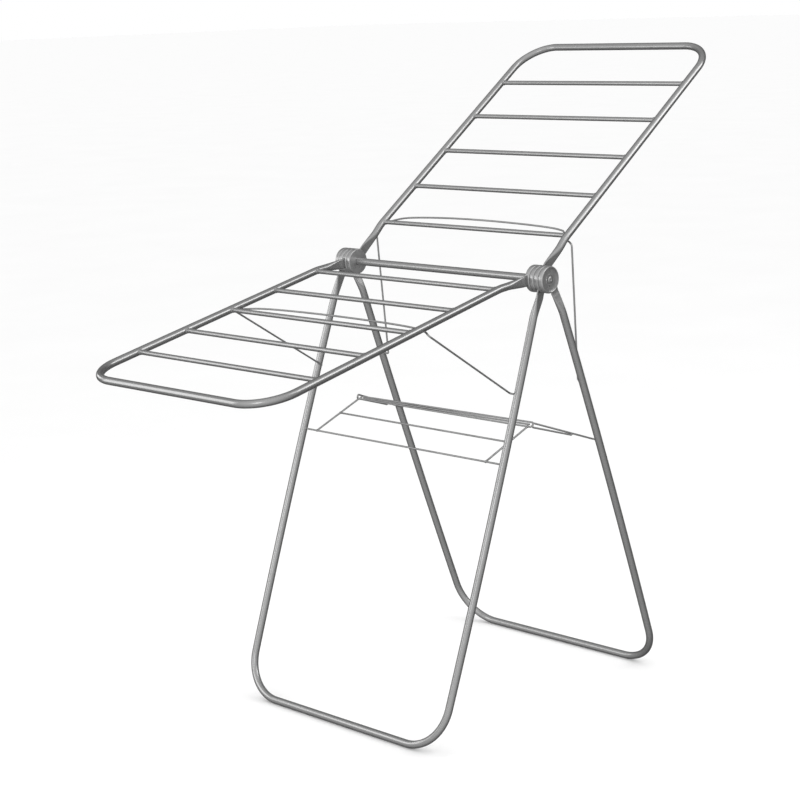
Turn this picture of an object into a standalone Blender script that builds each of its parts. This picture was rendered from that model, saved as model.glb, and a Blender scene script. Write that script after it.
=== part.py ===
"""Gullwing clothes drying rack: two leg frames and two winged hanging frames of
bent steel tube, all turning on one axis through a stack of four discs at each side.

Frame: X runs along the hinge axis, the front half opens towards -Y, the rear half
towards +Y, Z is up and the floor is z = 0. The rear half is the front half turned
180 degrees about Z, apart from its wing angle, its wire's crossbar and a few
millimetres in how its tubes are bent.
"""
import math
from collections import namedtuple

import bmesh
import bpy
from mathutils import Matrix, Vector

# Driving dimensions, in metres and degrees.
HINGE_HEIGHT = 0.9235        # hinge axis above the floor
HUB_SPACING = 0.550          # between the middles of the two disc stacks
DISC_PITCH = 0.0115
DISC_GAP = 0.0004            # running clearance between two discs
DISC_RADIUS = 0.028
DISC_CHAMFER = 0.0012
AXLE_RADIUS = 0.004
AXLE_CLEARANCE = 0.0003
RIVET_RADIUS = 0.0075
FACE_RECESS = 0.0022
FACE_RIM = 0.0035

TUBE_RADIUS = 0.008
RUNG_RADIUS = 0.005
WIRE_RADIUS = 0.002
GAP = 0.0003                 # between touching solids

LEG_BOW = 0.006              # outward bow of the leg tubes, halfway down
LEG_CORNER = 0.093
WING_BEND = 0.105            # from the axis, where the wing tubes reach their height
WING_CORNER = 0.080
RUNG_COUNT = 5

# What differs between the two halves: name, angle of the leg frame from the vertical,
# how far its tubes stand outside the hinge axis, angle of the wing above the horizontal,
# how far its tubes stand above the axis, and the distances from the axis to the first
# rung, from rung to rung and from the axis to the outer rail.
Half = namedtuple("Half", "name tilt leg_offset wing_angle wing_offset first_rung pitch rail")
FRONT = Half("front", 20.75, 0.0024, -11.47, 0.0125, 0.1103, 0.1280, 0.763)
REAR = Half("rear", 20.63, 0.0078, 34.51, 0.0183, 0.1137, 0.1264, 0.756)

FLAT_THICKNESS = 0.0032      # pressed tube ends, inside the discs
FLAT_WIDTH = 0.022
FLAT_TAIL = 0.011            # beyond the axis
FLAT_END = 0.034             # the tube is flat up to here and round from ROUND_START
ROUND_START = 0.080
LEG_SIDESTEPS = (0.0053, 0.0062)     # left and right tube line beside their discs
WING_SIDESTEPS = (0.0059, 0.0056)

SUPPORT_PIVOT = 0.2412       # along the leg, hinge axis to the wire's hole
SHELF_PIVOT = 0.3865
HOLE_CLEARANCE = 0.0005
PIN_LENGTH = 0.0055          # of a wire end inside its hole
SHELF_RISE = 0.0485          # of the shelf's back edge above its pivot
SHELF_DEPTH = 0.1345
SHELF_MID = 0.55             # share of the depth, front rod to middle wire

# Places of the four tube frames across the axis, as disc numbers from the left end
# of each stack: leg, rear leg, wing, rear wing on the left and wing, rear wing, leg,
# rear leg on the right.
LEG_DISCS = (0, 2)
WING_DISCS = (2, 0)


def disc_x(side, number):
    """Middle of a disc of the front half; side is -1 (left) or 1 (right)."""
    return side * HUB_SPACING / 2 + (number - 1.5) * DISC_PITCH


LEG_PLANES = (disc_x(-1, LEG_DISCS[0]), disc_x(1, LEG_DISCS[1]))
WING_PLANES = (disc_x(-1, WING_DISCS[0]), disc_x(1, WING_DISCS[1]))
LEG_LINES = tuple(plane - step for plane, step in zip(LEG_PLANES, LEG_SIDESTEPS))
WING_LINES = tuple(plane - step for plane, step in zip(WING_PLANES, WING_SIDESTEPS))
HUB_INNER = HUB_SPACING / 2 - 2 * DISC_PITCH
HUB_OUTER = HUB_SPACING / 2 + 2 * DISC_PITCH


# ---------------------------------------------------------------- scene and materials

def clear_scene():
    for thing in list(bpy.data.objects):
        bpy.data.objects.remove(thing, do_unlink=True)


def new_collection(name):
    collection = bpy.data.collections.new(name)
    bpy.context.scene.collection.children.link(collection)
    return collection


def new_material(name, colour, roughness, metallic):
    material = bpy.data.materials.new(name)
    material.use_nodes = True
    shader = material.node_tree.nodes["Principled BSDF"]
    shader.inputs["Base Color"].default_value = (*colour, 1.0)
    shader.inputs["Roughness"].default_value = roughness
    shader.inputs["Metallic"].default_value = metallic
    return material


clear_scene()
RACK = new_collection("clothes_drying_rack")
CUTTERS = new_collection("cutters")
TUBE_STEEL = new_material("silver_coated_steel", (0.42, 0.42, 0.43), 0.38, 0.85)
WIRE_STEEL = new_material("coated_wire", (0.36, 0.36, 0.37), 0.42, 0.80)
HUB_PLASTIC = new_material("grey_plastic", (0.30, 0.30, 0.31), 0.45, 0.10)
RIVET_STEEL = new_material("bright_steel", (0.62, 0.62, 0.63), 0.25, 1.0)


def new_axis(name, matrix):
    """An empty on a hinge axis, which carries the pieces that turn about it."""
    axis = bpy.data.objects.new(name, None)
    axis.empty_display_size = 0.05
    RACK.objects.link(axis)
    axis.matrix_world = matrix
    return axis


def place(thing, axis, collection=RACK):
    collection.objects.link(thing)
    thing.parent = axis
    return thing


# ---------------------------------------------------------------- shape helpers

def clamp(value):
    return min(max(value, 0.0), 1.0)


def smooth(value):
    value = clamp(value)
    return value * value * (3.0 - 2.0 * value)


def rounded(points, radii, steps=6):
    """Points of a polyline whose inner corners are replaced by arcs of the radii."""
    result = [Vector(points[0])]
    for before, corner, after, radius in zip(points, points[1:], points[2:], radii):
        corner = Vector(corner)
        into = (corner - Vector(before)).normalized()
        out = (Vector(after) - corner).normalized()
        turn = into.angle(out)
        if radius == 0 or turn < 1e-4:
            result.append(corner)
            continue
        cut = radius * math.tan(turn / 2)
        start = corner - into * cut
        centre = start + (out - into * into.dot(out)).normalized() * radius
        axis = into.cross(out).normalized()
        for step in range(steps + 1):
            spin = Matrix.Rotation(turn * step / steps, 3, axis)
            result.append(centre + spin @ (start - centre))
    result.append(Vector(points[-1]))
    return result


def rod_curve(name, points, radius, sides):
    """A round rod along the points, with closed ends."""
    data = bpy.data.curves.new(name, "CURVE")
    data.dimensions = "3D"
    data.bevel_depth = radius
    data.bevel_resolution = (sides - 4) // 2
    data.use_fill_caps = True
    spline = data.splines.new("POLY")
    spline.points.add(len(points) - 1)
    for point, place_on_line in zip(spline.points, points):
        point.co = (*place_on_line, 1.0)
    return bpy.data.objects.new(name, data)


def rod(name, points, radius, material, axis, sides=8):
    """A rod as a closed mesh with welded caps."""
    curve = place(rod_curve(name, points, radius, sides), axis)
    bpy.context.view_layer.update()
    evaluated = curve.evaluated_get(bpy.context.evaluated_depsgraph_get())
    mesh = bpy.data.meshes.new_from_object(evaluated)
    weld(mesh)
    bpy.data.objects.remove(curve, do_unlink=True)
    piece = place(bpy.data.objects.new(name, mesh), axis)
    finish(piece, material)
    return piece


def weld(mesh):
    shape = bmesh.new()
    shape.from_mesh(mesh)
    bmesh.ops.remove_doubles(shape, verts=shape.verts, dist=1e-5)
    bmesh.ops.recalc_face_normals(shape, faces=shape.faces)
    shape.to_mesh(mesh)
    shape.free()


def finish(piece, material):
    piece.data.materials.clear()
    piece.data.materials.append(material)
    piece.data.shade_smooth()
    piece.data.set_sharp_from_angle(angle=math.radians(40))


def cross_hole(name, x_from, x_to, y, z, radius, axis):
    """A cutter for a round hole along X."""
    shape = bmesh.new()
    bmesh.ops.create_cone(shape, cap_ends=True, segments=16, radius1=radius,
                          radius2=radius, depth=abs(x_to - x_from))
    turn = Matrix.Rotation(math.pi / 2, 4, "Y")
    bmesh.ops.transform(shape, matrix=turn, verts=shape.verts)
    return cutter(name, shape, ((x_from + x_to) / 2, y, z), axis)


def cutter(name, shape, centre, axis):
    mesh = bpy.data.meshes.new(name)
    shape.to_mesh(mesh)
    shape.free()
    tool = place(bpy.data.objects.new(name, mesh), axis, CUTTERS)
    tool.location = centre
    tool.hide_render = True
    tool.display_type = "WIRE"
    return tool


def cut(piece, tool):
    boolean = piece.modifiers.new(tool.name, "BOOLEAN")
    boolean.operation = "DIFFERENCE"
    boolean.solver = "EXACT"
    boolean.object = tool


# ---------------------------------------------------------------- tube frames

def roundness(distance):
    """0 where a tube is pressed flat and 1 where it is round."""
    return clamp((distance - FLAT_END) / (ROUND_START - FLAT_END))


def sidestep(distance, plane, line):
    """One side of a tube runs straight to its disc; the other side is pressed in."""
    return plane + (line - plane) * roundness(distance)


def frame_line(planes, lines, length, corner, bow, rise):
    """Centre line of a U frame as (x, distance along, height off the axis)."""
    near = [-FLAT_TAIL, FLAT_TAIL, FLAT_END]
    near += [FLAT_END + (ROUND_START - FLAT_END) * step / 4 for step in (1, 2, 3, 4)]
    bend = [WING_BEND - 0.012, WING_BEND - 0.004, WING_BEND + 0.004, WING_BEND + 0.012]
    far_start = length - corner
    far = [WING_BEND + (far_start - WING_BEND) * step / 8 for step in range(1, 8)]

    def side(index, distance):
        outward = -1 if index == 0 else 1
        share = distance / length
        x = sidestep(distance, planes[index], lines[index])
        if distance > FLAT_END:
            x += outward * bow * 4 * share * (1 - share)
        return (x, distance, rise(distance))

    left = [side(0, distance) for distance in near + bend + far]
    right = [side(1, distance) for distance in near + bend + far]
    corners = [(lines[0], length, rise(length)), (lines[1], length, rise(length))]
    points = left + corners + right[::-1]
    radii = [0] * (len(left) - 1) + [corner, corner] + [0] * (len(right) - 1)
    return rounded(points, radii, steps=8)


def press_ends(mesh, planes, lines, start, along, across):
    """Presses the two tube ends flat: thin along X, wide across the tube.

    The ends run from the point start, beside the hinge axis, along the direction
    along; across is square to both that and X.
    """
    for vertex in mesh.vertices:
        distance = vertex.co.dot(along)
        if distance > ROUND_START:
            continue
        index = 0 if vertex.co.x < 0 else 1
        squash = 1 - roundness(distance)
        centre_x = sidestep(distance, planes[index], lines[index])
        off_centre = (vertex.co - start).dot(across)
        thin = 1 + squash * (FLAT_THICKNESS / (2 * TUBE_RADIUS) - 1)
        wide = 1 + squash * (FLAT_WIDTH / (2 * TUBE_RADIUS) - 1)
        vertex.co.x = centre_x + (vertex.co.x - centre_x) * thin
        vertex.co += across * off_centre * (wide - 1)


def tube_frame(name, axis, planes, lines, length, corner, bow, rise, along, up):
    """One bent tube with pressed, drilled ends, drawn in its axis's own frame."""
    points = [Vector((x, 0, 0)) + along * distance + up * height
              for x, distance, height in frame_line(planes, lines, length, corner, bow, rise)]
    frame = rod(name, points, TUBE_RADIUS, TUBE_STEEL, axis, sides=12)
    start = up * rise(0.0)
    end_way = (along * FLAT_END + up * (rise(FLAT_END) - rise(0))).normalized()
    press_ends(frame.data, planes, lines, start, end_way, Vector((1, 0, 0)).cross(end_way))
    finish(frame, TUBE_STEEL)
    for index, plane in enumerate(planes):
        reach = TUBE_RADIUS
        hole = cross_hole(f"{name}_axle_hole_{index}", plane - reach, plane + reach,
                          0, 0, AXLE_RADIUS + AXLE_CLEARANCE, axis)
        cut(frame, hole)
    return frame


def leg_length(half):
    """Hinge axis to the middle of the floor bar, along the leg tubes."""
    tilt = math.radians(half.tilt)
    drop = HINGE_HEIGHT - TUBE_RADIUS + half.leg_offset * math.sin(tilt)
    return drop / math.cos(tilt)


def wing_rise(half, distance):
    """Wing tubes point at the axis up to a bend, and then run beside it."""
    return half.wing_offset * min(distance / WING_BEND, 1.0)


def leg_x(half, index, distance):
    """Middle of a leg tube at a distance below the axis, before the rear half is turned."""
    outward = -1 if index == 0 else 1
    share = distance / leg_length(half)
    return LEG_LINES[index] + outward * LEG_BOW * 4 * share * (1 - share)


def build_leg_frame(half, axis):
    down = Vector((0, 0, -1))
    outside = Vector((0, -1, 0))
    frame = tube_frame(f"{half.name}_leg_frame", axis, LEG_PLANES, LEG_LINES, leg_length(half),
                       LEG_CORNER, LEG_BOW, lambda distance: half.leg_offset, down, outside)
    for pivot, label in ((SUPPORT_PIVOT, "support"), (SHELF_PIVOT, "shelf")):
        for index in (0, 1):
            inward = 1 if index == 0 else -1
            middle = leg_x(half, index, pivot)
            hole = cross_hole(f"{half.name}_{label}_hole_{index}", middle,
                              middle + inward * 2 * TUBE_RADIUS, -half.leg_offset, -pivot,
                              WIRE_RADIUS + HOLE_CLEARANCE, axis)
            cut(frame, hole)
    return frame


def build_wing(half, axis):
    outward = Vector((0, -1, 0))
    above = Vector((0, 0, 1))
    tube_frame(f"{half.name}_wing_frame", axis, WING_PLANES, WING_LINES, half.rail,
               WING_CORNER, 0.0, lambda distance: wing_rise(half, distance), outward, above)
    reach = TUBE_RADIUS + GAP
    for number in range(RUNG_COUNT):
        distance = half.first_rung + number * half.pitch
        ends = [(WING_LINES[0] + reach, -distance, half.wing_offset),
                (WING_LINES[1] - reach, -distance, half.wing_offset)]
        rod(f"{half.name}_rung_{number + 1}", ends, RUNG_RADIUS, TUBE_STEEL, axis, sides=10)


# ---------------------------------------------------------------- hub discs

def build_disc(name, x, axis, slot_start, slot_towards, outer_face=0):
    """A turned disc with a bore and a slot for its tube's pressed end.

    The slot runs from beside the axis, past the point slot_start, out of the rim.
    outer_face is -1 or 1 where the disc closes the stack at that side and has a
    raised rim around a sunk face, and 0 between two discs.
    """
    half_width = DISC_PITCH / 2 - DISC_GAP / 2
    bore = AXLE_RADIUS + AXLE_CLEARANCE
    edge = DISC_RADIUS - DISC_CHAMFER
    profile = [(bore, half_width), (edge, half_width),
               (DISC_RADIUS, half_width - DISC_CHAMFER),
               (DISC_RADIUS, -half_width + DISC_CHAMFER), (edge, -half_width),
               (bore, -half_width)]
    if outer_face:
        inside_rim = DISC_RADIUS - FACE_RIM
        profile = [(bore, half_width - FACE_RECESS), (inside_rim, half_width - FACE_RECESS),
                   (inside_rim, half_width)] + profile[1:]
    mesh = bpy.data.meshes.new(name)
    edges = [(number, (number + 1) % len(profile)) for number in range(len(profile))]
    mesh.from_pydata([(radius, 0, height) for radius, height in profile], edges, [])
    disc = place(bpy.data.objects.new(name, mesh), axis)
    disc.location = (x, 0, 0)
    disc.rotation_euler = (0, math.pi / 2 if outer_face >= 0 else -math.pi / 2, 0)
    screw = disc.modifiers.new("turned", "SCREW")
    screw.axis = "Z"
    screw.steps = 32
    screw.render_steps = 32
    screw.use_merge_vertices = True
    screw.merge_threshold = 0.00005
    disc.data.materials.append(HUB_PLASTIC)

    slot = bmesh.new()
    bmesh.ops.create_cube(slot, size=1.0)
    thickness = FLAT_THICKNESS + 2 * GAP
    width = FLAT_WIDTH + 2 * GAP
    length = DISC_RADIUS + FLAT_TAIL + 0.004
    bmesh.ops.scale(slot, vec=(thickness, length, width), verts=slot.verts)
    turn = Vector((0, 1, 0)).rotation_difference(slot_towards).to_matrix()
    bmesh.ops.rotate(slot, matrix=turn, verts=slot.verts)
    middle = slot_start + slot_towards * (length / 2 - FLAT_TAIL - 2 * GAP)
    cut(disc, cutter(f"{name}_slot", slot, (x, middle.y, middle.z), axis))
    return disc


def build_discs(half, leg_axis, wing_axis):
    down = Vector((0, 0, -1))
    beside = Vector((0, -half.leg_offset, 0))
    middle = Vector((0, 0, 0))
    to_bend = Vector((0, -WING_BEND, half.wing_offset)).normalized()
    sides = ("left", "right") if half is FRONT else ("right", "left")
    for index, side in enumerate(sides):
        outermost = -1 if index == 0 else 0
        build_disc(f"{side}_disc_{half.name}_leg", LEG_PLANES[index], leg_axis, beside, down,
                   outermost)
        build_disc(f"{side}_disc_{half.name}_wing", WING_PLANES[index], wing_axis, middle,
                   to_bend)


def build_axle(axis):
    """The spacer tube between the hubs, and an axle with a domed rivet in each."""
    reach = HUB_INNER - GAP
    rod("top_tube", [(-reach, 0, 0), (reach, 0, 0)], TUBE_RADIUS, TUBE_STEEL, axis, sides=12)
    face = HUB_OUTER - DISC_GAP / 2 - FACE_RECESS
    for side, name in ((-1, "left"), (1, "right")):
        rod(f"{name}_axle", [(side * HUB_INNER, 0, 0), (side * face, 0, 0)],
            AXLE_RADIUS, RIVET_STEEL, axis, sides=12)
        dome = bmesh.new()
        bmesh.ops.create_uvsphere(dome, u_segments=16, v_segments=8, radius=RIVET_RADIUS)
        below = [vertex for vertex in dome.verts if vertex.co.z < -1e-6]
        bmesh.ops.delete(dome, geom=below, context="VERTS")
        rim = [edge for edge in dome.edges if edge.is_boundary]
        bmesh.ops.contextual_create(dome, geom=rim)
        bmesh.ops.scale(dome, vec=(1, 1, 0.4), verts=dome.verts)
        bmesh.ops.recalc_face_normals(dome, faces=dome.faces)
        mesh = bpy.data.meshes.new(f"{name}_rivet")
        dome.to_mesh(mesh)
        dome.free()
        rivet = place(bpy.data.objects.new(f"{name}_rivet", mesh), axis)
        rivet.location = (side * (face + GAP), 0, 0)
        rivet.rotation_euler = (0, side * math.pi / 2, 0)
        finish(rivet, RIVET_STEEL)


# ---------------------------------------------------------------- support wires

STRUT_FEET = (-0.2905, 0.2587)       # x of the struts beside the legs
STRUT_TOPS = (-0.2905, 0.2700)       # x of the struts beside the wing
STRUT_BEND = 0.006
UNDER_TUBE = TUBE_RADIUS + WIRE_RADIUS + 0.0006
FRONT_HOOK = 0.345                   # along the wing, where the crossbar passes below it
REAR_HOOK = 0.100


def leg_point(half, distance):
    """A point on the leg tubes' middle plane, from the hinge axis, before turning."""
    tilt = math.radians(half.tilt)
    return Vector((0, -distance * math.sin(tilt) - half.leg_offset * math.cos(tilt),
                   -distance * math.cos(tilt) + half.leg_offset * math.sin(tilt)))


def wing_point(half, x, distance, above):
    """A point beside the wing tubes' middle plane, from the hinge axis, before turning."""
    angle = math.radians(half.wing_angle)
    rise = wing_rise(half, distance) + above
    return Vector((x, -distance * math.cos(angle) + rise * math.sin(angle),
                   distance * math.sin(angle) + rise * math.cos(angle)))


def front_crossbar(share):
    """Distance along the wing and height of the crossbar, -1 to 1 across its width."""
    bow = 0.0360 - 0.0130 * share ** 2 - 0.0230 * share ** 10
    return FRONT_HOOK - bow, -UNDER_TUBE


def rear_crossbar(share):
    lift = 0.0185 * (1 - smooth(abs(share) * 1.05))
    bow = 0.0530 - 0.0150 * share ** 2 - 0.0380 * share ** 12
    dip = clamp(1 - abs(share + 0.925) / 0.075)
    return REAR_HOOK + bow - 1.07 * lift - 0.0155 * dip, lift - UNDER_TUBE - 0.002 * dip


def build_support(half, axis, crossbar):
    """A U of wire: two pins in the leg holes, two struts and a crossbar."""
    pivot = leg_point(half, SUPPORT_PIVOT)
    pins = [leg_x(half, 0, SUPPORT_PIVOT) + TUBE_RADIUS - PIN_LENGTH,
            leg_x(half, 1, SUPPORT_PIVOT) - TUBE_RADIUS + PIN_LENGTH]
    middle = (STRUT_TOPS[0] + STRUT_TOPS[1]) / 2
    half_width = (STRUT_TOPS[1] - STRUT_TOPS[0]) / 2
    bar = []
    for step in range(-12, 13):
        share = step / 12
        distance, above = crossbar(share)
        bar.append(wing_point(half, middle + share * half_width, distance, above) - pivot)
    points = [Vector((pins[0], 0, 0)), Vector((STRUT_FEET[0], 0, 0))] + bar
    points += [Vector((STRUT_FEET[1], 0, 0)), Vector((pins[1], 0, 0))]
    radii = [STRUT_BEND * 0.6, STRUT_BEND] + [0] * (len(bar) - 2) + [STRUT_BEND, STRUT_BEND]
    rod(f"{half.name}_support_wire", rounded(points, radii, steps=4), WIRE_RADIUS, WIRE_STEEL,
        axis)


# ---------------------------------------------------------------- shelf and its link

SHELF_SIDES = (-0.262, 0.233)
SHELF_BACK = (-0.262, 0.2385)
RAIL = (-0.256, 0.2415)              # upper wire above the shelf's back wire
RAIL_SETBACK = 0.006
RAIL_RISE = (0.0045, 0.0088)         # at its left and right end
LINK_KNEES = (-0.2675, 0.2455)
LINK_FEET = (-0.2680, 0.2870)
LINK_SPREAD = 0.0085                 # between the two wires of a link at the knee


def build_shelf(axis):
    """Shelf wires, drawn from the rod's axis in the front legs."""
    recess = TUBE_RADIUS - PIN_LENGTH
    rod_ends = [(leg_x(FRONT, 0, SHELF_PIVOT) + recess, 0, 0),
                (leg_x(FRONT, 1, SHELF_PIVOT) - recess, 0, 0)]
    rod("shelf_hinge_rod", rod_ends, WIRE_RADIUS, WIRE_STEEL, axis)
    back = Vector((0, SHELF_DEPTH, SHELF_RISE))
    inset = back.normalized() * (2 * WIRE_RADIUS + GAP)
    for x, side in zip(SHELF_SIDES, ("left", "right")):
        across = Vector((x, 0, 0))
        rod(f"shelf_side_{side}", [across + inset, across + back - inset], WIRE_RADIUS,
            WIRE_STEEL, axis)
    reach = WIRE_RADIUS + GAP
    middle = back * SHELF_MID
    rod("shelf_middle_wire", [middle + Vector((SHELF_SIDES[0] + reach, 0, 0)),
                              middle + Vector((SHELF_SIDES[1] - reach, 0, 0))],
        WIRE_RADIUS, WIRE_STEEL, axis)
    rod("shelf_back_wire", [back + Vector((x, 0, 0)) for x in SHELF_BACK], WIRE_RADIUS,
        WIRE_STEEL, axis)
    rail = [back + Vector((x, RAIL_SETBACK, rise)) for x, rise in zip(RAIL, RAIL_RISE)]
    rod("shelf_rail", rail, WIRE_RADIUS, WIRE_STEEL, axis)


def build_link(side, index, knee, axis):
    """A hairpin of wire from a pin in the rear leg to beside the shelf's back wire."""
    outward = -1 if index == 0 else 1
    leg = -leg_x(REAR, 1 - index, SHELF_PIVOT)
    pin = Vector((leg + outward * (PIN_LENGTH - TUBE_RADIUS), 0, 0))
    foot = Vector((LINK_FEET[index], 0, 0))
    low = knee + Vector((LINK_KNEES[index], 0, 0))
    high = low + Vector((0, RAIL_SETBACK * 0.5, LINK_SPREAD))
    join = foot.lerp(high, 0.36) - Vector((0, 0, 2.4 * WIRE_RADIUS))
    points = [pin, foot, high, low, join]
    turn = LINK_SPREAD * 0.35
    rod(f"{side}_link", rounded(points, [0.003, turn, turn], steps=4), WIRE_RADIUS,
        WIRE_STEEL, axis)


# ---------------------------------------------------------------- assembly

def build_half(half, crossbar):
    """One leg frame and one wing with their discs and support wire."""
    hub = Matrix.Translation((0, 0, HINGE_HEIGHT))
    facing = hub @ Matrix.Rotation(0 if half is FRONT else math.pi, 4, "Z")
    leg_turn = Matrix.Rotation(-math.radians(half.tilt), 4, "X")
    wing_turn = Matrix.Rotation(-math.radians(half.wing_angle), 4, "X")
    leg_axis = new_axis(f"{half.name}_leg_axis", facing @ leg_turn)
    wing_axis = new_axis(f"{half.name}_wing_axis", facing @ wing_turn)
    build_leg_frame(half, leg_axis)
    build_wing(half, wing_axis)
    build_discs(half, leg_axis, wing_axis)
    pivot = Matrix.Translation(leg_point(half, SUPPORT_PIVOT))
    build_support(half, new_axis(f"{half.name}_support_axis", facing @ pivot), crossbar)


build_half(FRONT, front_crossbar)
build_half(REAR, rear_crossbar)
build_axle(new_axis("hinge_axis", Matrix.Translation((0, 0, HINGE_HEIGHT))))
front_pivot = leg_point(FRONT, SHELF_PIVOT) + Vector((0, 0, HINGE_HEIGHT))
rear_pivot = leg_point(REAR, SHELF_PIVOT) * Vector((1, -1, 1)) + Vector((0, 0, HINGE_HEIGHT))
build_shelf(new_axis("shelf_axis", Matrix.Translation(front_pivot)))
shelf_back = front_pivot + Vector((0, SHELF_DEPTH, SHELF_RISE)) - rear_pivot
link_axis = new_axis("link_axis", Matrix.Translation(rear_pivot))
for number, label in enumerate(("left", "right")):
    build_link(label, number, shelf_back, link_axis)
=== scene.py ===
import math
import random

import bmesh
import bpy
from mathutils import Matrix, Vector


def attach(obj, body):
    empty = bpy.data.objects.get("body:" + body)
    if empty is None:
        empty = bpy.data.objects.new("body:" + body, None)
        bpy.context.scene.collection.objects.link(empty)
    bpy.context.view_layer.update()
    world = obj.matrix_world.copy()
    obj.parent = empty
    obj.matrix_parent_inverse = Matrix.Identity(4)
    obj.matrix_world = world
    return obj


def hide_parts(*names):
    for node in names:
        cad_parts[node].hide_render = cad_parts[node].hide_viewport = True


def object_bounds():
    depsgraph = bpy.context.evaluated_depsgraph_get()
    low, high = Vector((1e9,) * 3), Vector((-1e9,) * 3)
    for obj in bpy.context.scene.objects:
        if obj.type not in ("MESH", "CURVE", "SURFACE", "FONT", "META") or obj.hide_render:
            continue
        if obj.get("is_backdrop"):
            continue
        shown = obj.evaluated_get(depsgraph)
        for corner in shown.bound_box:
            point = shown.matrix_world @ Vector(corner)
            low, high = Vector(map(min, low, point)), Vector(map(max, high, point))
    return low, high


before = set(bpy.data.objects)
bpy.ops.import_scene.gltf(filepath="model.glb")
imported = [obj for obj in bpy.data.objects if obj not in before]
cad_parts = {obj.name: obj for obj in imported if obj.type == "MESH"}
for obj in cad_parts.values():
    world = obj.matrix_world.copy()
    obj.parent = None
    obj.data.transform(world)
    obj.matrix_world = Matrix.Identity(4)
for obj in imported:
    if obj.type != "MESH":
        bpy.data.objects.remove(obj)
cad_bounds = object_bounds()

# Gullwing clothes drying rack: the finished look of every piece of the design.
# X runs along the hinge axis, -Y is the front, Z is up, the floor is z = 0.
# Lengths are in metres. The front half is drawn as it stands; the rear half is the
# same design turned half round about Z, so "left" and "right" swap on it.

random.seed(11)
X_AXIS = Vector((1, 0, 0))
Y_AXIS = Vector((0, 1, 0))
Z_AXIS = Vector((0, 0, 1))

# ---------------------------------------------------------------- sizes of the design
HINGE_HEIGHT = 0.9235          # hinge axis above the floor
HUB_SPACING = 0.550            # between the middles of the hubs
DISC_PITCH = 0.0115            # from one disc of a hub to the next
DISC_RADIUS = 0.028
AXLE_RADIUS = 0.004
TUBE_RADIUS = 0.008
RUNG_RADIUS = 0.005
WIRE_RADIUS = 0.002
LEG_BOW = 0.006                # the legs swell outward between hub and floor
LEG_CORNER = 0.093
WING_BEND = 0.105              # from the axis, where the wing tubes reach their height
WING_CORNER = 0.080
RUNG_COUNT = 5
FLAT_THICKNESS = 0.0032        # of a pressed tube end
FLAT_WIDTH = 0.022
FLAT_TAIL = 0.011              # the pressed end runs this far past the axis
FLAT_END = 0.034               # from the axis: fully pressed up to here
ROUND_START = 0.080            # from the axis: fully round from here
LEG_SIDESTEPS = (0.0053, 0.0062)     # from the disc's plane to the tube's line
WING_SIDESTEPS = (0.0059, 0.0056)
SUPPORT_PIVOT = 0.2412         # along the leg, hinge axis to the support wire's hole
SHELF_PIVOT = 0.3865           # along the leg, hinge axis to the shelf's or link's hole
PIN_LENGTH = 0.0055            # of a wire end inside its hole
SHELF_RISE = 0.0485            # of the shelf's back edge above its hinge rod
SHELF_DEPTH = 0.1345
SHELF_MID = 0.55               # share of the depth where the middle wire lies


class Half:
    """The sizes that differ between the two halves, and their places in the frame."""

    def __init__(self, name, tilt, leg_offset, wing_angle, wing_offset, first_rung, pitch, rail):
        self.name = name
        self.tilt = math.radians(tilt)
        self.leg_offset = leg_offset
        self.wing_angle = math.radians(wing_angle)
        self.wing_offset = wing_offset
        self.first_rung = first_rung
        self.pitch = pitch
        self.rail = rail
        drop = HINGE_HEIGHT - TUBE_RADIUS + leg_offset * math.sin(self.tilt)
        self.leg_length = drop / math.cos(self.tilt)
        self.legs_body = "front_frame" if name == "front" else "rear_legs"
        facing = Matrix.Rotation(0 if name == "front" else math.pi, 4, "Z")
        self.hub = Matrix.Translation((0, 0, HINGE_HEIGHT)) @ facing
        self.leg = self.hub @ Matrix.Rotation(-self.tilt, 4, "X")
        self.wing = self.hub @ Matrix.Rotation(-self.wing_angle, 4, "X")


FRONT = Half("front", tilt=20.75, leg_offset=0.0024, wing_angle=-11.47, wing_offset=0.0125,
             first_rung=0.1103, pitch=0.1280, rail=0.763)
REAR = Half("rear", tilt=20.63, leg_offset=0.0078, wing_angle=34.51, wing_offset=0.0183,
            first_rung=0.1137, pitch=0.1264, rail=0.756)


def disc_x(side, number):
    """Middle of a disc, numbered 0 to 3 towards +X, in the hub on side -1 or 1."""
    return side * HUB_SPACING / 2 + (number - 1.5) * DISC_PITCH


LEG_PLANES = (disc_x(-1, 0), disc_x(1, 2))
WING_PLANES = (disc_x(-1, 2), disc_x(1, 0))
LEG_LINES = tuple(plane - step for plane, step in zip(LEG_PLANES, LEG_SIDESTEPS))
WING_LINES = tuple(plane - step for plane, step in zip(WING_PLANES, WING_SIDESTEPS))
HUB_INNER = HUB_SPACING / 2 - 2 * DISC_PITCH
HUB_OUTER = HUB_SPACING / 2 + 2 * DISC_PITCH


# ---------------------------------------------------------------- meshes
def clamp(value):
    return min(max(value, 0.0), 1.0)


def smooth(value):
    value = clamp(value)
    return value * value * (3.0 - 2.0 * value)


def bridge(first, second, count):
    """Faces between two closed rings of points that start at the given numbers."""
    return [(first + k, first + (k + 1) % count, second + (k + 1) % count, second + k)
            for k in range(count)]


def across(axis):
    """A unit axis and two more at right angles to it."""
    axis = axis.normalized()
    side = Z_AXIS if abs(axis.z) < 0.9 else X_AXIS
    side = (side - axis * side.dot(axis)).normalized()
    return axis, side, axis.cross(side)


def spokes(axis, count):
    """Angles and outward unit vectors, evenly spaced round an axis."""
    _, side, other = across(axis)
    for step in range(count):
        angle = 2 * math.pi * step / count
        yield angle, side * math.cos(angle) + other * math.sin(angle)


def even_stops(start, end, count):
    """Points evenly spaced on a straight line, with both ends."""
    return [start.lerp(end, step / count) for step in range(count + 1)]


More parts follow.
